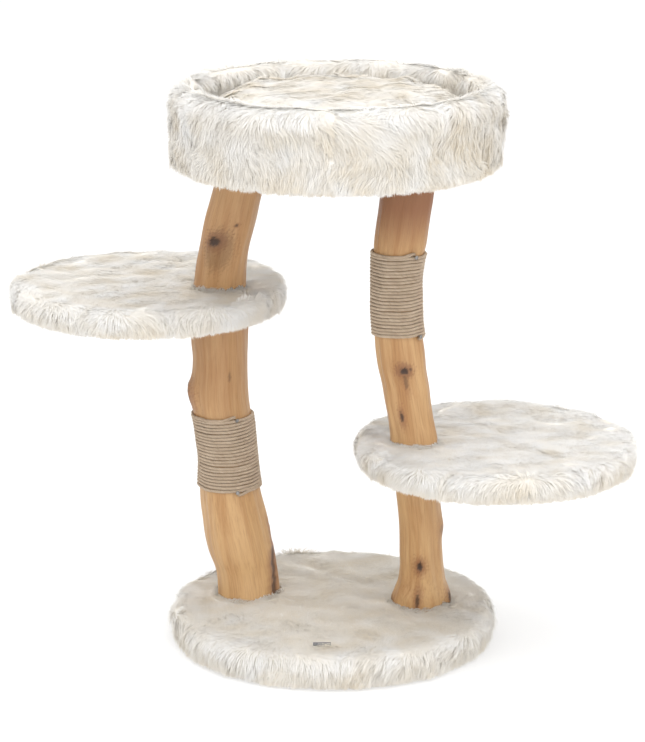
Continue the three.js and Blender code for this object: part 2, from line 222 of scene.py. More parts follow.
def pileGroup():
    # colour of plush by its own map: across it the tone from white to tinted, up it root to tip
    group = bpy.data.node_groups.new("pileTint", "ShaderNodeTree")
    group.interface.new_socket("Colour", in_out="OUTPUT", socket_type="NodeSocketColor")
    for key in ("Pale", "Tinted", "Root"):
        group.interface.new_socket(key, in_out="INPUT", socket_type="NodeSocketColor")
    nodes = group.nodes
    source, out = nodes.new("NodeGroupInput").outputs, nodes.new("NodeGroupOutput")
    place = addNode(nodes, "UVMap", uv_map="OFBake")
    axes = addNode(nodes, "SeparateXYZ", {0: place.outputs[0]}).outputs
    tone = mixColour(nodes, axes[0], source["Pale"], source["Tinted"])
    deep = addNode(nodes, "MapRange", {"Value": axes[1], "From Min": 0.0, "From Max": 0.75},
                   interpolation_type="SMOOTHSTEP")
    setSocket(out.inputs["Colour"], mixColour(nodes, deep.outputs[0], source["Root"], tone))
    return group


pileTint = pileGroup()


def pileMaterial(name, colours, through):
    # soft pile, part of whose light comes through: fine fibres pass it on to their lower sides
    material, nodes, shader = nodeMaterial(name, 0.8, Specular_IOR_Level=0.2, Sheen_Weight=0.25,
                                           Sheen_Roughness=0.5)
    tint = addNode(nodes, "Group", node_tree=pileTint)
    for key, colour in colours.items():
        tint.inputs[key].default_value = (*colour, 1)
    setSocket(shader.inputs["Base Color"], tint.outputs[0])
    behind = addNode(nodes, "BsdfTranslucent", {"Color": tint.outputs[0]})
    mixed = addNode(nodes, "MixShader", {"Fac": through, 1: shader.outputs[0], 2: behind.outputs[0]})
    setSocket(nodes["Material Output"].inputs["Surface"], mixed.outputs[0])
    return material


def matMaterial(name, pale, tinted):
    # the dense undercoat between the locks: mottled, with a fine hairy bump
    material, nodes, shader = nodeMaterial(name, 0.9, Sheen_Weight=0.3)
    place = addNode(nodes, "TexCoord").outputs["Object"]
    mottle = addNode(nodes, "TexNoise", {"Vector": place, "Scale": 45, "Detail": 4})
    hair = addNode(nodes, "TexNoise", {"Vector": place, "Scale": 700, "Detail": 3, "Distortion": 1.2})
    mottled = colourRamp(nodes, mottle.outputs["Fac"], [(0.35, pale), (0.7, tinted)])
    setSocket(shader.inputs["Base Color"], mottled)
    addBump(nodes, shader, hair.outputs["Fac"], 0.8, 0.001)
    return material


# trunks

trunks = {
    "left_lower_trunk": {
        "seed": 11,
        "knots": [  # x, y, z in mm near the surface, radius, how far it swells and sinks, darkness
            {"at": (-221, 70, 361), "radius": 13, "swell": 1.5, "sink": 3.0, "dark": 0.95, "tall": 1.2},
            {"at": (-150, 25, 395), "radius": 3, "swell": 0.3, "sink": 0.3, "dark": 0.4, "tall": 2.5},
        ],
        "grooves": [  # x, y, z of points down a bark seam, width and depth in mm
            {"path": [(-97, 66, 168), (-88, 60, 130), (-90, 40, 104), (-83, 30, 66), (-84, 30, 41)],
             "wide": 10, "deep": 2.5},
        ],
        "heightBands": [(230, 400, 0.45)],  # from and to heights in mm over which the wood turns darker and warmer, and by how much
        "tone": 0.57,
    },
    "left_upper_trunk": {
        "seed": 23,
        "knots": [
            {"at": (-173, 38, 606), "radius": 9.5, "swell": 3.5, "sink": 3.5, "dark": 1.0, "tall": 0.9},
            {"at": (-170, 36, 592), "radius": 24, "swell": 1.8, "sink": 0.0, "dark": 0.36, "tall": 1.5},
            {"at": (-144, 33, 631), "radius": 2.5, "swell": 0.5, "sink": 0.6, "dark": 0.8, "tall": 1.0},
        ],
        "grooves": [],
        "heightBands": [(0, 1, 0.4)],
        "tone": 0.56,
    },
    "right_lower_trunk": {
        "seed": 37,
        "knots": [
            {"at": (129, -63, 121), "radius": 4.5, "swell": 0.6, "sink": 1.6, "dark": 1.0, "tall": 1.6},
            {"at": (178, -10, 62), "radius": 6, "swell": 3.0, "sink": 1.5, "dark": 0.9, "tall": 1.2},
            {"at": (96, -4, 58), "radius": 7, "swell": 4.0, "sink": 0.5, "dark": 0.35, "tall": 0.8},
            {"at": (127, -50, 66), "radius": 3, "swell": 0.2, "sink": 1.0, "dark": 0.8, "tall": 4.0},
            {"at": (166, -30, 176), "radius": 7, "swell": 2.0, "sink": 0.2, "dark": 0.35, "tall": 1.2},
        ],
        "grooves": [],
        "heightBands": [(75, 45, 0.12)],
        "tone": 0.54,
    },
    "right_upper_trunk": {
        "seed": 41,
        "knots": [
            {"at": (106, -82, 434), "radius": 6.5, "swell": 1.8, "sink": 2.4, "dark": 1.0, "tall": 0.85},
            {"at": (106, -82, 434), "radius": 13, "swell": 0.8, "sink": 0.0, "dark": 0.18, "tall": 1.1},
            {"at": (119, -82, 436), "radius": 2.2, "swell": 0.4, "sink": 0.8, "dark": 0.75, "tall": 1.1},
            {"at": (108, -82, 417), "radius": 3, "swell": 0.0, "sink": 0.3, "dark": 0.5, "tall": 4.0},
            {"at": (99, -77, 363), "radius": 2.6, "swell": 0.4, "sink": 1.6, "dark": 0.85, "tall": 3.2},
        ],
        "grooves": [],
        # towards its top, under the bed, the wood turns darker: painted shadow of the bed, over wood that is
        # darker there too
        "heightBands": [(590, 680, 1.25), (0, 1, 0.1)],
        "tone": 0.53,
    },
}
trunkPoint = 2.1 * mm  # spacing of the points on the wood
trunkRadius = 45 * mm  # about, to choose how many points go round
ringPoints = 18  # in each ring of the plain trunk
boreReach = 20 * mm  # points nearer to the middle than this belong to the bore


def cadRings(node):
    # the rings of points that the plain trunk is made of, each started at the same side
    points = cadPoints(node)
    points = points[np.argsort(points[:, 2])]
    rings = []
    for ring in np.split(points, np.flatnonzero(np.diff(points[:, 2]) > 5e-5) + 1):
        away = ring[:, :2] - (ring[:, :2].min(0) + ring[:, :2].max(0)) / 2
        ring = ring[np.hypot(*away.T) > boreReach]
        if len(ring) != ringPoints:
            continue
        middle = ring[:, :2].mean(0)
        angle = np.arctan2(*(ring[:, :2] - middle).T[::-1])
        ring = ring[np.argsort(angle)]
        if rings:
            rolled = [np.roll(ring, k, 0) for k in (-1, 0, 1)]
            ring = min(rolled, key=lambda r: np.hypot(*(r - rings[-1])[:, :2].T).sum())
        rings.append(ring)
    return np.array(rings)


def smoothTrunk(node):
    # a grid of points on a smooth surface through the rings: waves round it and a cubic up it
    rings = cadRings(node)
    around = int(round(turn * trunkRadius / trunkPoint)) // 2 * 2
    flat = rings[:, :, 0] + 1j * rings[:, :, 1]
    wave = np.fft.fft(flat, axis=1)
    wide = np.zeros((len(rings), around), complex)
    half = wave.shape[1] // 2
    wide[:, :half], wide[:, -half:] = wave[:, :half], wave[:, -half:]
    flat = np.fft.ifft(wide, axis=1) * around / wave.shape[1]
    height = rings[:, :, 2].mean(1)
    count = int((height[-1] - height[0]) / trunkPoint)
    at = np.interp(np.linspace(height[0], height[-1], count), height, np.arange(len(height)))
    table = np.stack([flat.real, flat.imag, np.repeat(height[:, None], around, 1)], -1)
    return cubicRows(table, at)


def placeOn(grid, middle, spot):
    # the angle and height of a spot given in mm, beside a trunk's grid
    x, y, z = np.array(spot) * mm
    row = np.argmin(np.abs(grid[:, 0, 2] - z))
    return math.atan2(y - middle[row, 1], x - middle[row, 0]), z


def carveTrunk(node, look):
    # the smooth trunk with ridges, knots and bark seams, moved along the way out from its middle
    grid = smoothTrunk(node)
    middle = grid.mean(1)
    out = grid - middle[:, None]
    radius = np.linalg.norm(out, axis=2)
    angle = np.arctan2(out[..., 1], out[..., 0])
    straight = np.concatenate([out[..., :2], grid[..., 2:]], -1)
    seed = look["seed"]
    ridges = softNoise(straight * (1, 1, 0.13), 20 * mm, seed) * 0.55
    ridges += softNoise(straight * (1, 1, 0.1), 7 * mm, seed + 1) * 0.22
    dents = softNoise(straight * (1, 1, 0.5), 45 * mm, seed + 2) * 0.7
    move, dark, warm = ridges + dents, np.zeros(radius.shape), np.zeros(radius.shape)
    for knot in look["knots"]:
        a, z = placeOn(grid, middle, knot["at"])
        across = angleOff(angle, a) * radius
        away = np.hypot(across, (grid[..., 2] - z) / knot["tall"]) / (knot["radius"] * mm)
        move += knot["swell"] * np.exp(-((away / 1.9) ** 2)) - knot["sink"] * np.exp(-((away / 0.75) ** 4))
        rough = 1 + 0.18 * softNoise(straight, 4 * mm, seed + 3)
        dark = np.maximum(dark, knot["dark"] * softStep(1.25, 0.6, away * rough))
        warm = np.maximum(warm, knot["dark"] * softStep(3.4, 1.0, away * rough))
    for groove in look["grooves"]:
        path = np.array([placeOn(grid, middle, p) for p in groove["path"]])
        order = np.argsort(path[:, 1])
        a = np.interp(grid[:, 0, 2], path[order, 1], path[order, 0])[:, None]
        ends = softStep(path[:, 1].max() + 12 * mm, path[:, 1].max() - 12 * mm, grid[..., 2])
        wander = softNoise(straight * (0.2, 0.2, 1), 14 * mm, seed + 4) * 2 * mm
        away = np.abs(angleOff(angle, a) * radius + wander) / (groove["wide"] * mm)
        move -= groove["deep"] * np.exp(-(away**2)) * ends
        dark = np.maximum(dark, 0.75 * softStep(1.1, 0.3, away) * ends)
        warm = np.maximum(warm, softStep(3, 0.8, away) * ends)
    # darker, warmer bands by height; on the right upper trunk the band under the bed is painted shadow
    for low, high, amount in look["heightBands"]:
        warm = np.maximum(warm, amount * softStep(low * mm, high * mm, grid[..., 2]))
    ends = np.minimum(grid[..., 2] - grid[0, 0, 2], grid[-1, 0, 2] - grid[..., 2])
    move *= softStep(0, 8 * mm, ends)
    grid = grid + out / radius[..., None] * (np.maximum(move, -4)[..., None] * mm)
    return {"grid": grid, "middle": middle, "straight": straight, "dark": dark, "warm": warm}


# the stain colour serves knot rings, seams and height bands; the band under the bed is painted shadow
woodLook = {
    "pale": (0.56, 0.345, 0.16), "honey": (0.415, 0.215, 0.082), "brown": (0.27, 0.12, 0.045),
    "knot": (0.05, 0.024, 0.013), "stainAndShade": (0.24, 0.095, 0.04), "warmth": 0.72,
}


def woodMaterial(name, tone):
    # trunk wood: fibres and streaks that run up it, warm stains round knots and seams, darker warm bands by
    # height (painted shadow under the bed), and knots by the piece's values
    material, nodes, shader = nodeMaterial(name, 0.5, Specular_IOR_Level=0.4, Coat_Weight=0.12,
                                           Coat_Roughness=0.35)
    keys = ("straight", "warm", "dark")
    straight, warm, dark = (addNode(nodes, "Attribute", attribute_name=key) for key in keys)
    streak, fibre, blotch = (
        addNode(nodes, "Mapping", {"Vector": straight.outputs["Vector"], "Scale": (1, 1, up)}).outputs[0]
        for up in (0.07, 0.03, 0.3)
    )
    wide = addNode(nodes, "TexNoise",
                   {"Vector": streak, "Scale": 75, "Detail": 5, "Roughness": 0.6, "Distortion": 0.6})
    fine = addNode(nodes, "TexNoise", {"Vector": fibre, "Scale": 520, "Detail": 3, "Roughness": 0.7})
    patch = addNode(nodes, "TexNoise", {"Vector": blotch, "Scale": 22, "Detail": 3})
    blend = addNode(nodes, "Mix", {"Factor": 0.38, 2: wide.outputs["Fac"], 3: patch.outputs["Fac"]},
                    data_type="FLOAT")
    stops = [(0.68 - tone, woodLook["brown"]), (0.9 - tone, woodLook["honey"]),
             (1.12 - tone, woodLook["pale"])]
    lines = colourRamp(nodes, fine.outputs["Fac"], [(0.3, (0.66, 0.6, 0.55)), (0.52, (1, 1, 1))])
    lined = mixColour(nodes, 0.55, colourRamp(nodes, blend.outputs[0], stops), lines, blend_type="MULTIPLY")
    warmth = addNode(nodes, "Math", {0: warm.outputs["Fac"], 1: woodLook["warmth"]}, operation="MULTIPLY")
    # warm stain colour for knot rings, seams and height bands, the band under the bed being painted shadow
    stainedAndShaded = mixColour(nodes, warmth.outputs[0], lined, (*woodLook["stainAndShade"], 1))
    knotted = mixColour(nodes, dark.outputs["Fac"], stainedAndShaded, (*woodLook["knot"], 1))
    setSocket(shader.inputs["Base Color"], knotted)
    rough = addNode(nodes, "MapRange", {"Value": wide.outputs["Fac"], "To Min": 0.42, "To Max": 0.62})
    setSocket(shader.inputs["Roughness"], rough.outputs[0])
    addBump(nodes, shader, fine.outputs["Fac"], 0.45, 0.0008)
    return material


def buildTrunk(node):
    # the carved wood with its ends closed
    made = carveTrunk(node, trunks[node])
    grid = made["grid"]
    rows, columns = grid.shape[:2]
    points = np.concatenate([grid.reshape(-1, 3), grid[0].mean(0)[None], grid[-1].mean(0)[None]])
    poles = [[0, 0, grid[0, 0, 2]], [0, 0, grid[-1, 0, 2]]]
    values = {"straight": np.concatenate([made["straight"].reshape(-1, 3), poles])}
    for key in ("dark", "warm"):
        values[key] = np.concatenate([made[key].ravel(), [0, 0]])
    piece = makeMesh(node + "_wood", points, gridFaces(rows, columns), capFaces(rows, columns), values=values)
    finishPiece(piece, "stand", woodMaterial(node + " wood", trunks[node]["tone"]), "trunk_wood", node)
    return made


carved = {node: buildTrunk(node) for node in trunks}
print("trunks carved:", sum(len(m["grid"].reshape(-1, 3)) for m in carved.values()), "points")


def trunkRadiusAt(node, points):
    # how far each point is outside the trunk's wood, by the distance from its middle at that height
    made = carved[node]
    grid, middle = made["grid"], made["middle"]
    height = grid[:, 0, 2]
    x, y = (np.interp(points[:, 2], height, middle[:, k]) for k in (0, 1))
    row = np.clip(np.searchsorted(height, points[:, 2]), 0, len(height) - 1)
    dx, dy = points[:, 0] - x, points[:, 1] - y
    first = grid[row, 0] - middle[row]
    start = np.arctan2(first[:, 1], first[:, 0])
    columns = grid.shape[1]
    column = np.round(np.mod(np.arctan2(dy, dx) - start, turn) / turn * columns).astype(int) % columns
    wall = np.linalg.norm((grid[row, column] - middle[row])[:, :2], axis=1)
    return np.hypot(dx, dy) - wall


# rope wraps: three twisted strands laid round the trunks

wraps = {
    "left_lower_trunk": {"turns": 23, "nails": (-75, -60), "seed": 61, "loose": 0.36},
    "right_upper_trunk": {"turns": 25, "nails": (-42, -54), "seed": 67, "loose": 0.33},
}
# lengths in mm; sides of a strand, steps along one twist, and loose fibres
rope = {"thick": 5.0, "pitch": 10.5, "strand": 1.42, "apart": 1.25, "sides": 5, "steps": 6, "fibres": 1500}


def ropeMaterial():
    # twisted plant fibre: fine threads along each strand, painted shade in the grooves between strands and at
    # the ends, with paler hairs
    material, nodes, shader = nodeMaterial("jute rope", 0.9, Sheen_Weight=0.25, Sheen_Roughness=0.5)
    along, deep = (addNode(nodes, "Attribute", attribute_name=key) for key in ("along", "deep"))
    stretch = addNode(nodes, "Mapping", {"Vector": along.outputs["Vector"], "Scale": (0.2, 1, 1)})
    thread = addNode(nodes, "TexNoise",
                     {"Vector": stretch.outputs[0], "Scale": 1.7, "Detail": 4, "Roughness": 0.65})
    patch = addNode(nodes, "TexNoise", {"Vector": along.outputs["Vector"], "Scale": 0.045, "Detail": 3})
    both = addNode(nodes, "Mix", {"Factor": 0.4, 2: thread.outputs["Fac"], 3: patch.outputs["Fac"]},
                   data_type="FLOAT")
    stops = [(0.3, (0.3, 0.215, 0.145)), (0.48, (0.47, 0.36, 0.255)), (0.66, (0.64, 0.53, 0.405))]
    fibre = colourRamp(nodes, both.outputs[0], stops)
    # painted shade: a darker colour where a strand faces the others and at the rope's ends
    shaded = mixColour(nodes, deep.outputs["Fac"], fibre, (0.42, 0.31, 0.21, 1))
    setSocket(shader.inputs["Base Color"], shaded)
    addBump(nodes, shader, thread.outputs["Fac"], 0.7, 0.0005)
    return material


ropeFibre = ropeMaterial()


def onTrunk(node, angle, z):
    # a point on the wood and the way straight out of it, at an angle and a height
    made = carved[node]
    grid, middle = made["grid"], made["middle"]
    height, columns = grid[:, 0, 2], grid.shape[1]
    row = np.interp(z, height, np.arange(len(height)))
    low = np.clip(np.floor(row).astype(int), 0, len(height) - 2)
    share = (row - low)[:, None]
    first = grid[low, 0] - middle[low]
    column = np.mod(angle - np.arctan2(first[:, 1], first[:, 0]), turn) / turn * columns
    left = np.floor(column).astype(int) % columns
    part = (column - np.floor(column))[:, None]
    right = (left + 1) % columns
    below = grid[low, left] * (1 - part) + grid[low, right] * part
    above = grid[low + 1, left] * (1 - part) + grid[low + 1, right] * part
    core = middle[low] * (1 - share) + middle[low + 1] * share
    wood = below * (1 - share) + above * share
    return wood, unit((wood - core) * (1, 1, 0))


def ropeRoute(node):
    # a screw line that lies on the wood a rope's thickness up at each turn, with small slips, its two
    # ends bent away from the turns to their nails
    look = wraps[node]
    low, high = (np.array(v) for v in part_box(node + "_rope_wrap"))
    first, last = (math.radians(a) for a in look["nails"])
    spare = np.mod(last - first, turn) / turn
    turns = look["turns"] + spare - (1 if spare > 0.5 else 0)
    rounds = np.linspace(0, turns, int(turns * 160))
    angle = first + rounds * turn
    half = rope["thick"] / 2 * mm
    bottom, top = low[2] + half, high[2] - half
    pitch = (top - bottom) / (turns - 1)
    # the first and the last round lie level, the others climb
    climb = np.clip(rounds - 0.5, 0, turns - 1) * pitch
    rng = np.random.default_rng(look["seed"])
    knots = rng.normal(0, 0.22, (int(turns) + 3, 6))
    slip = cubicRows(knots.ravel()[:, None], np.clip(rounds * 5, 0, knots.size - 1.001))[:, 0] * mm
    away = (rounds / turns - look["loose"]) * turns / 0.8
    gap = np.exp(-(away**2)) * np.sin(angle * 1.5 + 0.6) * 0.9 * mm
    slip = (slip + gap) * softStep(0, 1, np.minimum(rounds, turns - rounds))
    z = bottom + climb + slip
    tail = np.minimum(rounds, turns - rounds) * turn * 42 * mm  # how far from the nearer end
    bend = 3.6 * mm * softStep(24 * mm, 2 * mm, tail)
    z = z + np.where(rounds < turns / 2, -bend, bend)
    wood, out = onTrunk(node, angle, z)
    route = wood + out * half
    step = np.linalg.norm(np.diff(route, axis=0), axis=1)
    return route, out, np.concatenate([[0], np.cumsum(step)])


def buildRope(node):
    # each strand is a tube whose middle circles the route as it goes along it
    route, out, length = ropeRoute(node)
    count = int(length[-1] / (rope["pitch"] * mm) * rope["steps"])
    s = np.linspace(0, length[-1], count)
    line = np.stack([np.interp(s, length, route[:, k]) for k in range(3)], -1)
    out = unit(np.stack([np.interp(s, length, out[:, k]) for k in range(3)], -1))
    ahead = unit(np.gradient(line, axis=0))
    out = unit(out - ahead * (out * ahead).sum(1)[:, None])
    side = np.cross(ahead, out)
    rng = np.random.default_rng(wraps[node]["seed"] + 1)
    points, quads, triangles, along, deep = [], [], [], [], []
    sides = rope["sides"]
    around = np.arange(sides) / sides * turn
    for strand in range(3):
        twist = s / (rope["pitch"] * mm) * turn + strand * turn / 3
        wobble = 1 + 0.08 * cubicRows(rng.normal(0, 1, (count // 9 + 3, 1)), np.arange(count) / 9)[:, 0]
        outward = out * np.cos(twist)[:, None] + side * np.sin(twist)[:, None]
        centre = line + outward * (rope["apart"] * mm)
        turned = around[None] + twist[:, None]
        ring = out[:, None] * np.cos(turned)[..., None] + side[:, None] * np.sin(turned)[..., None]
        thick = rope["strand"] * mm * wobble[:, None, None]
        tube = centre[:, None] + ring * thick
        tube[[0, -1]] = centre[[0, -1], None] + ring[[0, -1]] * thick[[0, -1]] * 0.55
        first = sum(len(p) for p in points)
        poles = centre[:1] - ahead[:1] * 0.8 * mm, centre[-1:] + ahead[-1:] * 0.8 * mm
        points.append(np.concatenate([tube.reshape(-1, 3), *poles]))
        quads.append(gridFaces(count, sides)[:, ::-1] + first)
        triangles.append(capFaces(count, sides)[:, [1, 0, 2]] + first)
        flat = np.zeros((count, sides))
        place = [s[:, None] / mm + flat, np.cos(around) * 2 + flat + strand * 9, np.sin(around) * 2 + flat]
        place = np.stack(place, -1).reshape(-1, 3)
        along.append(np.concatenate([place, place[:1], place[-1:]]))
        # painted shade: how far each point lies in a groove facing the other strands, or near an end
        inward = np.clip(-(ring * outward[:, None]).sum(-1), 0, 1) * 0.85
        ends = softStep(4 * mm, 0.5 * mm, np.minimum(s, s[-1] - s))[:, None]
        deep.append(np.concatenate([np.maximum(inward, 0.8 * ends).ravel(), [1, 1]]))
    values = {"along": np.concatenate(along), "deep": np.concatenate(deep)}
    points, quads, triangles = (np.concatenate(part) for part in (points, quads, triangles))
    piece = makeMesh(node + "_rope", points, quads, triangles, values=values)
    finishPiece(piece, "stand", ropeFibre, "rope", node + "_rope_wrap")
    # loose fibres: thin strips that leave the rope at a slant
    n = rope["fibres"]
    pick = rng.integers(3, count - 3, n)
    a = rng.uniform(-1.7, 1.7, n)[:, None]
    away = out[pick] * np.cos(a) + side[pick] * np.sin(a)
    start = line[pick] + away * 2.3 * mm
    course = ahead[pick] * rng.choice([-1, 1], n)[:, None]
    course = course + away * rng.uniform(0.15, 0.8, n)[:, None]
    course = unit(course + rng.normal(0, 0.3, (n, 3)))
    reach = rng.uniform(1.5, 6.5, n)[:, None] * mm
    middle = start + course * reach * 0.5
    tip = start + course * reach + rng.normal(0, 0.5, (n, 3)) * mm
    wide = unit(np.cross(course, away)) * 0.13 * mm
    hairs = np.stack([start - wide, middle - wide * 0.8, start + wide, middle + wide * 0.8, tip], 1)
    spread = np.stack([rng.uniform(0, 5000, n), rng.uniform(0, 9, n), rng.uniform(0, 9, n)], -1)
    hairValues = {"along": np.repeat(spread, stripPoints, 0), "deep": np.zeros(n * stripPoints)}
    loose = makeMesh(node + "_rope_fibres", hairs.reshape(-1, 3), *stripFaces(n), values=hairValues)
    finishPiece(loose, "stand", ropeFibre, "rope")
    return length[-1]


for node in wraps:
    print(node, "rope length in metres:", round(buildRope(node), 2))

# plush seats: a thick backing with tens of thousands of locks of pile planted on it

# lengths in mm: the cover stands in from the plain one by pile at its side, by top above and by under at its
# foot, and round holds its roundings; long, lift, turning and tone go from the top to the wall;
# patches are x, y, z, width and change of tone, seams are degrees, and cut is in metres
# the tone's change from top to wall is partly painted shade: walls more tinted than the lit tops, the base's
# top more tinted in the seats' shade
platform = {
    "hem": 169.2, "pile": 8.5, "top": 4.5, "under": 3.5, "round": (18, 17), "parts": 2, "spacing": 1.55,
    "long": (19, 20), "lift": (0.03, 0.2), "swirl": 90, "turning": (0.7, 0.5), "outward": 0.5,
    "width": 1.25, "ragged": 0.55, "mottle": 0.24, "cut": (0.552, 0.552), "area": 0.2393,
}
seats = {
    "base": {
        "cover": "base_plush_cover", "tag": "base_blank_tag", "board": "base_board", "hem": 204.7,
        "pile": 9.0, "top": 4.0, "under": 0.3, "round": (21, 17), "seed": 101, "parts": 3,
        "trunks": ("left_lower_trunk", "right_lower_trunk"), "spacing": 1.55, "long": (13, 21),
        "lift": (0.05, 0.2), "swirl": 130, "turning": (0.7, 0.8), "outward": 0.35, "width": 1.25,
        # the base's top is more tinted than its wall: partly its own tint, partly painted shade under the
        # seats above
        "tone": (0.7, 0.55), "ragged": 0.55, "mottle": 0.16, "cut": (0.634, 0.634), "area": 0.3157,
        "patches": [(-147, -72, 52, 26, -0.4), (189, -60, 52, 30, -0.45), (-49, -112, 52, 30, -0.22),
                    (-122, -172, 48, 45, -0.35), (60, -205, 48, 40, -0.25), (32, -245, 28, 28, 0.35)],
    },
    "left_platform": {
        **platform, "cover": "left_platform_plush_cover", "board": "left_platform_board",
        "trunks": ("left_upper_trunk",), "seed": 131, "tone": (0.4, 0.46),
        # the tinted patch towards the trunk is painted shadow of the bed above; the other patch is paler
        "patches": [(-322, 60, 525, 60, -0.15), (-200, 60, 525, 60, 0.25)],
    },
    "right_platform": {
        **platform, "cover": "right_platform_plush_cover", "board": "right_platform_board",
        "trunks": ("right_upper_trunk",), "seed": 151, "tone": (0.14, 0.5),
        "patches": [(363, 39, 318, 24, 0.6), (213, 132, 318, 26, 0.5), (174, 1, 318, 22, 0.5),
                    (269, -212, 298, 45, 0.3), (393, -120, 292, 35, 0.35)],
    },
    "bed": {
        "cover": "bed_plush_cover", "board": "bed_board", "hem": 204.7, "pile": 9.5, "top": 6.5, "under": 4.0,
        "round": (18, 27, 15), "lining": 206.9, "foam": "bed_rim_foam", "trunks": (), "seed": 171, "parts": 3,
        "seams": (-92.6, 86.8), "spacing": 1.6, "long": (19, 22), "lift": (0.03, 0.18), "swirl": 95,
        "turning": (0.6, 0.85), "outward": 0.5, "width": 1.25, "tone": (0.2, 0.48), "ragged": 0.45,
        "mottle": 0.24, "cut": (0.27, 1.5), "area": 0.405,
        "patches": [(192, -165, 795, 50, 0.4), (222, -120, 755, 40, 0.4), (-165, -190, 815, 60, -0.2)],
    },
}
pileColours = {"Pale": (0.95, 0.948, 0.94), "Tinted": (0.88, 0.825, 0.725), "Root": (0.95, 0.925, 0.88)}
pileFur = pileMaterial("long pile plush", pileColours, through=0.42)
pileBacking = matMaterial("plush undercoat", (0.96, 0.945, 0.91), (0.94, 0.885, 0.79))


def roundedPath(corners, step=1.2 * mm):
    # straight runs between corners given as radius, height and rounding in mm, each corner a short curve
    c = np.array(corners, float) * mm
    runs = [c[:1, :2]]
    for before, here, after in zip(c[:-2], c[1:-1], c[2:]):
        arrive = here[:2] + unit(before[:2] - here[:2]) * here[2]
        leave = here[:2] + unit(after[:2] - here[:2]) * here[2]
        t = np.linspace(0, 1, 14)[:, None]
        runs.append((1 - t) ** 2 * arrive + 2 * t * (1 - t) * here[:2] + t**2 * leave)
    runs.append(c[-1:, :2])
    path = np.concatenate(runs)
    length = np.concatenate([[0], np.cumsum(np.linalg.norm(np.diff(path, axis=0), axis=1))])
    s = np.linspace(0, length[-1], int(length[-1] / step))
    return s, np.stack([np.interp(s, length, path[:, k]) for k in (0, 1)], -1)


def seatPaths(seat):
    # the outer and the inner line of a cover, in mm: outside it stands in from the plain cover by the pile
    low, high = (np.array(v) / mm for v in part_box(seat["cover"]))
    bLow, bHigh = (np.array(v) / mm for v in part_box(seat["board"]))
    middle = (low + high)[:2] / 2
    gap = 0.3  # between the cover and its board
    wide, edge = (high[0] - low[0]) / 2 - seat["pile"], (bHigh[0] - bLow[0]) / 2 + gap
    hem, top, under = seat["hem"], high[2] - seat["top"], low[2] + seat["under"]
    foot, brow = seat["round"][:2]
    outer = [(hem, under, 0), (wide, under, foot), (wide, top, brow)]
    if "foam" in seat:
        _, fHigh = (np.array(v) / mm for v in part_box(seat["foam"]))
        inside, floor = seat["lining"], bHigh[2] + gap
        foamIn = cadFoamInner - gap
        outer += [(inside, top, seat["round"][2]), (inside, floor, 0)]
        inner = [(foamIn, floor, 0), (foamIn, fHigh[2] + gap, 2), (edge, fHigh[2] + gap, 2),
                 (edge, bLow[2] - gap, 2), (hem, bLow[2] - gap, 0)]
    else:
        outer += [(0, top, 0)]
        inner = [(0, bHigh[2] + gap, 0), (edge, bHigh[2] + gap, 2), (edge, bLow[2] - gap, 2),
                 (hem, bLow[2] - gap, 0)]
    return middle * mm, outer, inner, bHigh[2] * mm


foamRing = cadPoints("bed_rim_foam")
foamMiddle = (foamRing.min(0) + foamRing.max(0)) / 2
cadFoamInner = np.hypot(*(foamRing - foamMiddle)[:, :2].T).min() / mm


def seatSurface(seat, made, s, angle):
    # points and directions outwards at a length along the outer line and an angle round the seat:
    # the line turned round the middle, swollen by slow lumps, and pressed down where a trunk stands on it
    line, at, facing = made["line"], made["at"], made["facing"]
    r, z = (np.interp(s, at, line[:, k]) for k in (0, 1))
    nr, nz = (np.interp(s, at, facing[:, k]) for k in (0, 1))
    ring = np.stack([np.cos(angle), np.sin(angle)], -1)
    out = unit(np.concatenate([ring * nr[..., None], nz[..., None]], -1))
    points = np.concatenate([made["middle"] + ring * r[..., None], z[..., None]], -1)
    lumps = softNoise(points, 62 * mm, seat["seed"]) * (1.9 - 0.9 * softStep(0.5, 1, nz))
    lumps += softNoise(points, 24 * mm, seat["seed"] + 1) * 0.9 * softStep(1, 0.3, nz)
    loose = softStep(0, 12 * mm, s) * softStep(-0.9, -0.2, nz)
    for seam in seat.get("seams", ()):
        off = angleOff(angle, math.radians(seam)) * r
        lumps = lumps - 2.6 * np.exp(-((off / (5 * mm)) ** 2))
    if "tag" in seat:
        near = np.linalg.norm((points - np.array(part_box(seat["tag"])).mean(0)) * (1, 1, 0), axis=-1)
        lumps = lumps + (2.6 - lumps) * np.exp(-((near / (24 * mm)) ** 2)) * (nz > 0.8)
    points = points + out * (lumps * loose * mm)[..., None]
    low = made["boardTop"] + 1.5 * mm
    for node in seat["trunks"]:
        raised = np.maximum(points, (-9, -9, low + 3 * mm)).reshape(-1, 3)
        free = softStep(-2.5 * mm, 2.5 * mm, trunkRadiusAt(node, raised))
        free = np.where(nz.ravel() > 0.5, free, 1).reshape(nz.shape)
        points[..., 2] = np.where(points[..., 2] > low, low + (points[..., 2] - low) * free, points[..., 2])
    return points, out


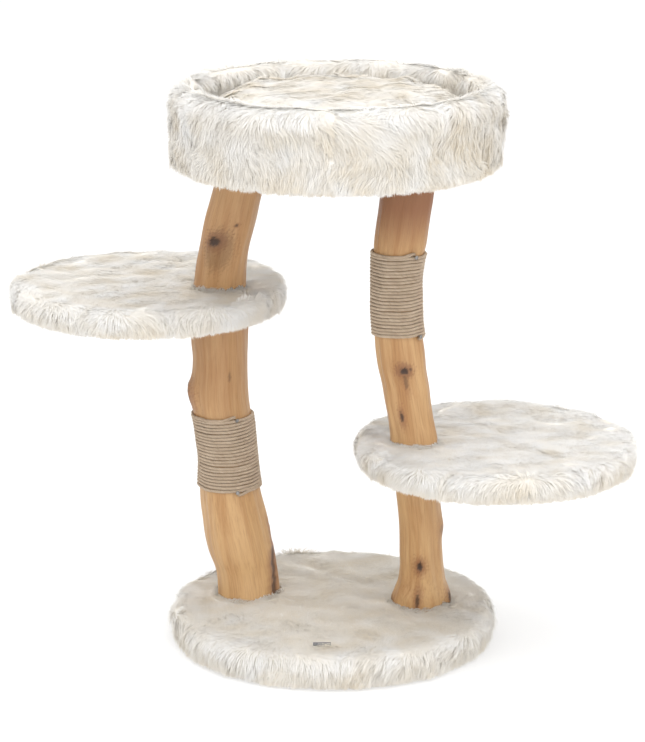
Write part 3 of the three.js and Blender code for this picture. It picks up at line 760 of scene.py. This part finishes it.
def buildCover(name):
    # the backing: the outer surface and the inner one joined at the hem, as one closed shell
    seat = seats[name]
    middle, outer, inner, boardTop = seatPaths(seat)
    at, line = roundedPath(outer)
    slope = np.gradient(line, axis=0)
    facing = unit(np.stack([slope[:, 1], -slope[:, 0]], -1))
    made = {"middle": middle, "at": at, "line": line, "facing": facing, "boardTop": boardTop}
    columns, ring = 150, "foam" in seat
    angle = np.arange(columns) / columns * turn
    rows = np.linspace(0, at[-1], int(at[-1] / (5 * mm)))
    rows = rows if ring else rows[:-1]
    outside, _ = seatSurface(seat, made, *np.meshgrid(rows, angle, indexing="ij"))
    _, lining = roundedPath(inner, 6 * mm)
    lining = lining if ring else lining[1:]
    turned = np.stack([np.cos(angle), np.sin(angle)], -1)
    inside = middle + turned[None] * lining[:, None, :1]
    inside = np.concatenate([inside, np.repeat(lining[:, None, 1:], columns, 1)], -1)
    grid = np.concatenate([inside, outside])
    count = len(grid)
    points, quads, triangles = grid.reshape(-1, 3), gridFaces(count, columns), []
    if ring:  # joined end to start
        last = np.arange(columns) + (count - 1) * columns
        first = np.arange(columns)
        quads = np.concatenate([quads, np.stack([last, np.roll(last, -1), np.roll(first, -1), first], -1)])
    else:
        poles = [[*middle, lining[0, 1]], [*middle, outside[-1, :, 2].mean()]]
        points = np.concatenate([points, poles])
        triangles = capFaces(count, columns)
    piece = makeMesh(name + "_backing", points, quads, triangles)
    finishPiece(piece, "stand", pileBacking, "plush", seat["cover"])
    return piece, made


def nearestOf(points, centres):
    # which centre is the nearest to each point, a few thousand points at a time
    near = np.empty(len(points), int)
    for first in range(0, len(points), 4000):
        part = points[first:first + 4000]
        near[first:first + 4000] = np.argmin((centres**2).sum(1) - 2 * part @ centres.T, axis=1)
    return near


lockSteps = np.array([0, 0.45, 1.0])  # where the points of a lock are along it
lockUp = lockSteps[[0, 1, 0, 1, 2]]
lockAcross = np.array([-1, -1, 1, 1, 0]) * 0.004


def growLocks(roots, normals, brushed, length, lift, width, hang, rng, gather=0.3, ragged=0.0):
    # each lock is a flat strip: it leaves its root the way it is brushed, rises by its lift and lies
    # down again, narrows to a point, and its tip leans to the middle of its clump and sags
    n = len(roots)
    centre = rng.choice(n, max(n // 26, 1), replace=False)
    clump = nearestOf(roots, roots[centre])
    yaw = rng.normal(0, 0.2, len(centre))[clump] + rng.normal(0, 0.11, n)
    length = length * rng.uniform(0.8, 1.15, len(centre))[clump] * rng.uniform(0.75, 1.2, n)
    lift = lift * rng.uniform(0.75, 1.25, len(centre))[clump] * rng.uniform(0.7, 1.3, n)
    # some clumps, and some locks by themselves, stand up out of the rest
    standing = 0.5 * (rng.random(len(centre)) < 0.1)[clump]
    standing = standing + rng.uniform(0.3, 1.0, n) * (rng.random(n) < 0.09)
    lift += ragged * standing
    side = unit(np.cross(normals, brushed))
    along = brushed * np.cos(yaw)[:, None] + side * np.sin(yaw)[:, None]
    side = unit(np.cross(normals, along))
    toMiddle = roots[centre][clump] - roots
    ahead = along * (toMiddle * along).sum(1)[:, None] * 0.6
    toMiddle -= normals * (toMiddle * normals).sum(1)[:, None] + ahead
    t = lockSteps[None, :, None]
    rise, reach = (lift * length)[:, None, None], length[:, None, None]
    line = roots[:, None] + along[:, None] * reach * (t - 0.08 * t**2)
    line = line + normals[:, None] * rise * (1.5 * t - 1.05 * t**2)
    line = line + toMiddle[:, None] * np.reshape(gather, (-1, 1, 1)) * t**2
    line += normals[:, None] * (0.8 * mm * (1 - (1 - t) ** 2))
    line[..., 2] -= (hang * length)[:, None] * t[..., 0] ** 2
    roll = rng.normal(0, 0.09, n)[:, None]
    across = side * np.cos(roll) + normals * np.sin(roll)
    half = (width * rng.uniform(0.7, 1.3, n) / 2)[:, None, None] * np.array([0.8, 1.0])[None, :, None]
    left, right = line[:, :2] + across[:, None] * half, line[:, :2] - across[:, None] * half
    locks = np.concatenate([right, left, line[:, 2:]], 1)
    shade = unit(normals[:, None] + across[:, None] * np.array([-0.16, -0.16, 0.16, 0.16, 0])[None, :, None])
    return locks, shade


def lockPiece(name, locks, shade, tone, body):
    # strips as one mesh, lit as the surface that they lie on, each a little rounded across;
    # its map holds the tone across and root to tip up
    across = 0.03 + 0.94 * np.clip(tone, 0, 1)[:, None] + lockAcross
    uv = np.stack([across, np.broadcast_to(0.02 + 0.96 * lockUp, across.shape)], -1).reshape(-1, 2)
    piece = makeMesh(name, locks.reshape(-1, 3), *stripFaces(len(locks)), maps={"OFBake": uv})
    piece.data.normals_split_custom_set_from_vertices(shade.reshape(-1, 3).astype(np.float32))
    return finishPiece(piece, body, pileFur, "plush")


def clearOfTrunks(locks, nodes):
    # points of locks that would be in the wood are moved straight out of it
    flat = locks.reshape(-1, 3)
    for node in nodes:
        made = carved[node]
        deep = trunkRadiusAt(node, flat)
        middle = [np.interp(flat[:, 2], made["grid"][:, 0, 2], made["middle"][:, k]) for k in (0, 1)]
        away = unit(flat[:, :2] - np.stack(middle, -1))
        flat[:, :2] += away * np.maximum(0.5 * mm - deep, 0)[:, None]
    return flat.reshape(locks.shape)


def topToWall(pair, top):
    # the first value on top, the second on the wall
    return pair[0] * top + pair[1] * (1 - top)


def nearPatch(roots, x, y, z, wide):
    # 1 in the middle of a patch, falling off round it over its width
    away = np.linalg.norm(roots - np.array((x, y, z)) * mm, axis=1)
    return np.exp(-((away / (wide * mm)) ** 2))


def buildPile(name, made):
    # roots are spread evenly by a golden-angle spiral that is stretched to the line's own area
    seat = seats[name]
    rng = np.random.default_rng(seat["seed"] + 7)
    at, line = made["at"], made["line"]
    weight = np.concatenate([[0], np.cumsum((line[1:, 0] + line[:-1, 0]) / 2 * np.diff(at))])
    start = np.interp(16 * mm, at, weight)
    stop = weight[-1] if "foam" not in seat else np.interp(at[-1] - 42 * mm, at, weight)
    n = int((stop - start) * turn / (seat["spacing"] * mm) ** 2)
    i = np.arange(n)
    s = np.interp(start + (stop - start) * (i + rng.uniform(0.1, 0.9, n)) / n, weight, at)
    angle = np.mod(i * goldenAngle + rng.normal(0, 0.006, n), turn)
    roots, normals = seatSurface(seat, made, s, angle)
    keep = np.ones(n, bool)
    reach = np.full(n, 1.0)
    raised = np.maximum(roots, (-9, -9, made["boardTop"] + 4 * mm))
    for node in seat["trunks"]:
        away = trunkRadiusAt(node, raised)
        keep &= (away > 0.8 * mm) | (normals[:, 2] < 0.5)
        reach = np.minimum(reach, np.where(normals[:, 2] > 0.5, np.clip(away / (16 * mm), 0, 1), 1))
    roots, normals, angle, reach, raised = (v[keep] for v in (roots, normals, angle, reach, raised))
    top = softStep(0.45, 0.95, normals[:, 2])
    under = softStep(0.2, -0.6, normals[:, 2])
    away = np.stack([np.cos(angle), np.sin(angle), np.zeros(len(angle))], -1)
    r = np.hypot(*(roots[:, :2] - made["middle"]).T)
    swirl = softField(roots, seat["swirl"] * mm, seat["seed"] + 20)
    edge = (r / r.max())[:, None] ** 3
    flat = away * seat["outward"] * edge + swirl * seat["turning"][0] * (1, 0.4, 1)
    if "foam" not in seat:  # round seats are brushed to the front
        flat += np.array([0.5, -0.85, 0]) * (1 - edge)
    wall = np.array([0, 0, -0.75]) + swirl * seat["turning"][1] * (1, 1, 0.35) * (1 - under)[:, None]
    field = flat * top[:, None] + wall * (1 - top)[:, None]
    seamed = np.zeros(len(roots))
    for seam in seat.get("seams", ()):  # the pile lies away from a seam on both sides
        off = angleOff(angle, math.radians(seam)) * r
        near = np.exp(-((off / (9 * mm)) ** 2))
        field += np.cross((0, 0, 1), away) * (np.sign(off) * near * 0.5)[:, None]
        seamed = np.maximum(seamed, near)
    for node in seat["trunks"]:
        foot = carved[node]["middle"][0, :2]
        to = unit(np.concatenate([foot - roots[:, :2], np.zeros((len(roots), 1))], -1))
        close = np.clip(1 - trunkRadiusAt(node, raised) / (14 * mm), 0, 1)
        field += to * (close * 1.6 * top)[:, None]
    field = unit(field - normals * (field * normals).sum(1)[:, None])
    hanging = away * 0.35 - np.array([0, 0, 1])
    field = unit(field * (1 - under)[:, None] + hanging * under[:, None])
    length = topToWall(seat["long"], top) * mm * (0.75 + 0.25 * reach) * (1 - 0.62 * under)
    lift = topToWall(seat["lift"], top) + 0.9 * (1 - reach) ** 2
    lift *= 1 + 0.3 * softNoise(roots, 40 * mm, seat["seed"] + 30)
    patches = [(nearPatch(roots, *patch[:4]), patch[4]) for patch in seat["patches"]]
    for near, amount in patches:
        lift += 0.7 * max(-amount, 0) * near
    if "tag" in seat:
        off = (roots - np.array(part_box(seat["tag"])).mean(0)) / (1, 0.6, 1)
        lift += 0.5 * np.exp(-((np.linalg.norm(off, axis=1) / (17 * mm)) ** 2))
    hang = 0.12 * (1 - top)
    lift *= 1 - under
    facing = unit(normals * (1 - under)[:, None] + (away + np.array([0, 0, 0.35])) * under[:, None])
    ragged = (1 - softStep(0.9, 0.995, normals[:, 2])) * seat["ragged"]
    gather = 0.3 - 0.2 * top
    width = seat["width"] * mm
    locks, shade = growLocks(roots, facing, field, length, lift, width, hang, rng, gather, ragged)
    locks = clearOfTrunks(locks, seat["trunks"])
    locks[..., 2] = np.maximum(locks[..., 2], 0.4 * mm)
    # tone from top to wall, partly painted shade: more tinted on walls, and on the base's top under the seats
    tone = topToWall(seat["tone"], top)
    mottle = seat["mottle"] * softNoise(roots, 55 * mm, seat["seed"] + 31)
    tone += 0.15 * seamed + mottle + rng.normal(0, 0.06, len(roots))
    # painted highlight: the rounded upper edge near the rim is paler, where light falls on it
    brow = softStep(0.76, 0.95, r / r.max()) * softStep(0.0, 0.55, normals[:, 2])
    tone -= 0.34 * brow
    for near, amount in patches:
        tone += amount * near
    part = np.floor(angle / turn * seat["parts"]).astype(int)
    return [lockPiece(f"{name}_pile_{k + 1}", locks[part == k], shade[part == k], tone[part == k], "stand")
            for k in range(seat["parts"])]


for name, seat in seats.items():
    backing, made = buildCover(name)
    pieces = buildPile(name, made)
    print(name, "covered:", sum(len(p.data.vertices) for p in pieces) // stripPoints, "locks")

# the loose cushion: a sewn round cover blown up by its filling, with pile on it

cushion = {
    # points of the outline, each a share of the radius and a height in mm
    "outline": [[0, 0], [0.9, 0], [0.975, 14], [1, 38], [0.955, 58], [0.84, 69], [0.55, 75], [0, 77]],
    "pile": 5.0, "voxel": 6.0, "pressure": 4.0, "most": 7.0, "steps": 20, "fill": 0.72, "seed": 201,
    "spacing": 1.7, "long": 19, "lift": 0.03, "tone": 0.46, "mottle": 0.26, "width": 1.25, "swirl": 85,
    "mostLocks": 65000,
}


def cushionForm():
    # the outline turned round the middle, a little smaller than the plain cushion by its pile
    low, high = (np.array(v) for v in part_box("cushion_plush_cover"))
    middle = (low + high)[:2] / 2
    wide = (high[0] - low[0]) / 2 - cushion["pile"] * mm
    outline = np.array(cushion["outline"], float)
    rows = np.linspace(0, len(outline) - 1, 90)
    line = cubicRows(outline, rows)[1:-1]
    line[:, 0] = np.maximum(line[:, 0], 0.01)
    height = (high[2] - low[2] - cushion["pile"] * mm) / outline[-1, 1]
    columns = 240
    angle = np.arange(columns) / columns * turn
    ring = np.stack([np.cos(angle), np.sin(angle)], -1)
    flat = middle + ring[None] * (line[:, 0] * wide)[:, None, None]
    rise = low[2] + 0.3 * mm + line[:, 1] * height
    grid = np.concatenate([flat, np.repeat(rise[:, None, None], columns, 1)], -1)
    swell = softNoise(grid, 80 * mm, cushion["seed"]) * 1.6
    swell += softNoise(grid, 34 * mm, cushion["seed"] + 1) * 0.8
    grid[..., 2] += swell * mm * softStep(0.25, 0.6, line[:, 1] / outline[-1, 1])[:, None]
    count = len(grid)
    ends = [[*middle, grid[0, 0, 2]], [*middle, grid[-1, :, 2].mean()]]
    points = np.concatenate([grid.reshape(-1, 3), ends])
    return makeMesh("cushion_cover", points, gridFaces(count, columns), capFaces(count, columns)), low, high


def readPoints(mesh):
    # a mesh's points as an array
    points = np.empty(len(mesh.vertices) * 3, np.float32)
    mesh.vertices.foreach_get("co", points)
    return points.reshape(-1, 3).astype(float)


def useModifier(piece, kind, **settings):
    # a modifier put on a piece, with its settings
    change = piece.modifiers.new(kind.lower(), kind)
    for key, value in settings.items():
        setattr(change, key, value)
    return change


def applyAll(piece):
    # the mesh as its modifiers make it, in place of the old one
    bpy.context.view_layer.update()
    made = bpy.data.meshes.new_from_object(piece.evaluated_get(bpy.context.evaluated_depsgraph_get()))
    piece.modifiers.clear()
    piece.data = made
    made.polygons.foreach_set("use_smooth", np.ones(len(made.polygons), bool))


def blowUp(piece, low):
    # cloth under its filling's pressure for a few steps, each point's move kept within a cap
    useModifier(piece, "REMESH", mode="VOXEL", voxel_size=cushion["voxel"] * mm)
    applyAll(piece)
    before = readPoints(piece.data)
    seam = piece.vertex_groups.new(name="seam")
    z = before[:, 2] - low[2]
    held = np.flatnonzero((np.abs(z - 38 * mm) < 3 * mm) | (z < 4 * mm))
    seam.add(held.tolist(), 1.0, "REPLACE")
    cloth = useModifier(piece, "CLOTH")
    cloth.settings.use_pressure = True
    cloth.settings.uniform_pressure_force = cushion["pressure"]
    cloth.settings.effector_weights.gravity = 0
    cloth.settings.shrink_min = -0.03
    cloth.settings.vertex_group_mass = "seam"
    scene = bpy.context.scene
    for step in range(1, cushion["steps"] + 1):
        scene.frame_set(step)
    applyAll(piece)
    scene.frame_set(1)
    after = readPoints(piece.data)
    move = after - before
    far = np.linalg.norm(move, axis=1)
    after = before + move * np.minimum(1, cushion["most"] * mm / np.maximum(far, 1e-9))[:, None]
    after[:, 2] = np.maximum(after[:, 2], low[2] + 0.2 * mm)
    piece.data.vertices.foreach_set("co", after.astype(np.float32).ravel())
    useModifier(piece, "SUBSURF", levels=1, render_levels=1)
    applyAll(piece)
    return np.linalg.norm(after - before, axis=1).max()


def trianglesOf(mesh):
    # the corners of each triangle of a mesh
    mesh.calc_loop_triangles()
    index = np.empty(len(mesh.loop_triangles) * 3, np.int32)
    mesh.loop_triangles.foreach_get("vertices", index)
    return readPoints(mesh)[index.reshape(-1, 3)]


def buildCushion():
    # the blown-up cover, then its pile, which rides with it
    piece, low, high = cushionForm()
    moved = blowUp(piece, low)
    finishPiece(piece, "cushion", pileBacking, "plush", "cushion_plush_cover")
    # roots on the blown-up cover, by area, and the pile brushed mostly sideways on it
    rng = np.random.default_rng(cushion["seed"] + 5)
    corners = trianglesOf(piece.data)
    normal = np.cross(corners[:, 1] - corners[:, 0], corners[:, 2] - corners[:, 0])
    area = np.linalg.norm(normal, axis=1) / 2
    facing = unit(normal)
    area *= (facing[:, 2] > -0.2) & (corners[:, :, 2].mean(1) > low[2] + 24 * mm)
    total = np.cumsum(area)
    n = min(int(total[-1] / (cushion["spacing"] * mm) ** 2), cushion["mostLocks"])
    pick = np.searchsorted(total, (np.arange(n) + rng.uniform(0, 1, n)) / n * total[-1])
    u, v = np.sqrt(rng.uniform(0, 1, n))[:, None], rng.uniform(0, 1, n)[:, None]
    roots = corners[pick, 0] * (1 - u) + corners[pick, 1] * u * (1 - v) + corners[pick, 2] * u * v
    normals = facing[pick]
    middle = (low + high) / 2
    away = unit((roots - middle) * (1, 1, 0))
    edge = softStep(0.9, 0.5, normals[:, 2])[:, None]
    swirl = softField(roots, cushion["swirl"] * mm, cushion["seed"] + 20)
    down = away * 0.3 - np.array([0, 0, 0.8])
    field = (swirl * (0.8, 0.4, 0.8) + (0.9, -0.25, 0)) * (1 - 0.6 * edge) + down * edge
    field = unit(field - normals * (field * normals).sum(1)[:, None])
    length = cushion["long"] * mm * (1 - 0.35 * edge[:, 0])
    lift = cushion["lift"] * (1 + 0.5 * softNoise(roots, 40 * mm, cushion["seed"] + 30))
    width, hang = cushion["width"] * mm, 0.02 * edge[:, 0]
    locks, shade = growLocks(roots, normals, field, length, lift, width, hang, rng, 0.1)
    # no lock reaches past the plain cushion's side, so that it slides out freely
    across = locks[..., :2] - middle[:2]
    far = np.linalg.norm(across, axis=-1, keepdims=True)
    locks[..., :2] = middle[:2] + across * np.minimum(1, ((high[0] - low[0]) / 2 - 0.3 * mm) / far)
    tone = cushion["tone"] + cushion["mottle"] * softNoise(roots, 60 * mm, cushion["seed"] + 31)
    tone = tone + rng.normal(0, 0.06, n)
    lockPiece("cushion_pile", locks, shade, tone, "cushion")
    print("cushion blown up by at most", round(moved / mm, 1), "mm,", n, "locks")


buildCushion()

# parts that keep their plain shape: boards, foam, felt, filling, steel and the tag


def grainyMaterial(name, stops, scale, stretch=(1, 1, 1), detail=4, bumpSize=0.0004, roughness=0.8,
                   **sockets):
    # one noise for colour and one finer one for relief, both stretched alike
    material, nodes, shader = nodeMaterial(name, roughness, **sockets)
    place = addNode(nodes, "TexCoord").outputs["Object"]
    spread = addNode(nodes, "Mapping", {"Vector": place, "Scale": stretch}).outputs[0]
    colour = addNode(nodes, "TexNoise",
                     {"Vector": spread, "Scale": scale, "Detail": detail, "Roughness": 0.6})
    relief = addNode(nodes, "TexNoise", {"Vector": spread, "Scale": scale * 4, "Detail": 2})
    setSocket(shader.inputs["Base Color"], colourRamp(nodes, colour.outputs["Fac"], stops))
    addBump(nodes, shader, relief.outputs["Fac"], 0.6, bumpSize)
    return material


plainParts = {
    "board": grainyMaterial("pressed board", [(0.35, (0.36, 0.24, 0.13)), (0.6, (0.62, 0.46, 0.29))], 130,
                            (1, 1, 2.5)),
    "felt": grainyMaterial("underside felt", [(0.35, (0.33, 0.32, 0.3)), (0.65, (0.5, 0.48, 0.45))], 420,
                           (1, 1, 1),
                           detail=6, bumpSize=0.0008, roughness=0.95, Sheen_Weight=0.4),
    "foam": grainyMaterial("rim foam", [(0.4, (0.72, 0.7, 0.62)), (0.6, (0.86, 0.84, 0.76))], 600,
                           roughness=0.95),
    "filling": grainyMaterial("cushion filling", [(0.35, (0.8, 0.8, 0.79)), (0.7, (0.92, 0.92, 0.91))], 70,
                              (1, 1, 1),
                              detail=7, bumpSize=0.003, roughness=0.95),
    "steel": grainyMaterial("zinc plated steel", [(0.35, (0.2, 0.19, 0.18)), (0.65, (0.36, 0.35, 0.34))], 260,
                            (1, 1, 0.3), bumpSize=0.0001, roughness=0.42, Metallic=1.0),
    "tag": grainyMaterial("woven tag", [(0.4, (0.12, 0.12, 0.125)), (0.65, (0.24, 0.24, 0.245))], 900,
                          (1, 3, 1),
                          bumpSize=0.0003, roughness=0.7),
}


def plainPartOf(name):
    # which plain material a piece takes, or none when it has its own above
    for ending in ("_board", "_felt_underside", "_foam", "_filling", "_tag"):
        if name.endswith(ending):
            return ending.split("_")[1]
    steel = name.split("_")[-1] in ("bolt", "washer", "stud") or "nail" in name or "insert" in name
    return "steel" if steel else None


for name, node in cadNodes.items():
    part = plainPartOf(name)
    if part:
        for place in node.material_slots:
            place.material = plainParts[part]
print("plain parts finished:", sum(plainPartOf(n) is not None for n in cadNodes))

# camera, light and floor

camera = bpy.data.objects.new("camera", bpy.data.cameras.new("camera"))
camera.data.sensor_width = 36
camera.data.lens = 136.4
camera.data.clip_end = 100
camera.location = (-0.0153, -4.0553, 1.5209)
camera.rotation_euler = (math.radians(90 - 15.2535), 0, 0)
bpy.context.scene.collection.objects.link(camera)
bpy.context.scene.camera = camera

lamps = {  # place, size and power of each soft box
    "key": {"at": (-1.5, -2.2, 3.0), "size": 3.0, "watts": 21},
    "top": {"at": (0.2, -0.3, 3.4), "size": 3.2, "watts": 50},
    "front": {"at": (0.3, -4.6, 1.3), "size": 3.0, "watts": 14},
    "fill": {"at": (2.3, -2.6, 1.1), "size": 2.0, "watts": 14},
    "rim": {"at": (0.4, 2.6, 2.8), "size": 2.0, "watts": 12},
}
for name, lamp in lamps.items():
    light = bpy.data.lights.new(name, "AREA")
    light.size = lamp["size"]
    light.energy = lamp["watts"]
    box = bpy.data.objects.new(name, light)
    box.location = lamp["at"]
    box.rotation_euler = (Vector((0, 0, 0.45)) - Vector(lamp["at"])).to_track_quat("-Z", "Y").to_euler()
    bpy.context.scene.collection.objects.link(box)

world = bpy.data.worlds.new("studio")
bpy.context.scene.world = world
world.use_nodes = True
world.node_tree.nodes["Background"].inputs[0].default_value = (1, 1, 1, 1)
world.node_tree.nodes["Background"].inputs[1].default_value = 1.02
bpy.context.scene.view_settings.view_transform = "Standard"

floorMaterial, _, _ = nodeMaterial(
    "studio floor", 0.9, Base_Color=(0.5, 0.5, 0.5, 1), Emission_Color=(1, 1, 1, 1), Emission_Strength=0.5
)
floorEdge = 14  # metres from the middle to each side
floorCorners = ((-1, -1), (1, -1), (1, 1), (-1, 1))
floorPoints = [(x * floorEdge, y * floorEdge, -0.0005) for x, y in floorCorners]
floor = makeMesh("studio_floor", np.array(floorPoints), [[0, 1, 2, 3]], smooth=False)
floor.data.materials.append(floorMaterial)
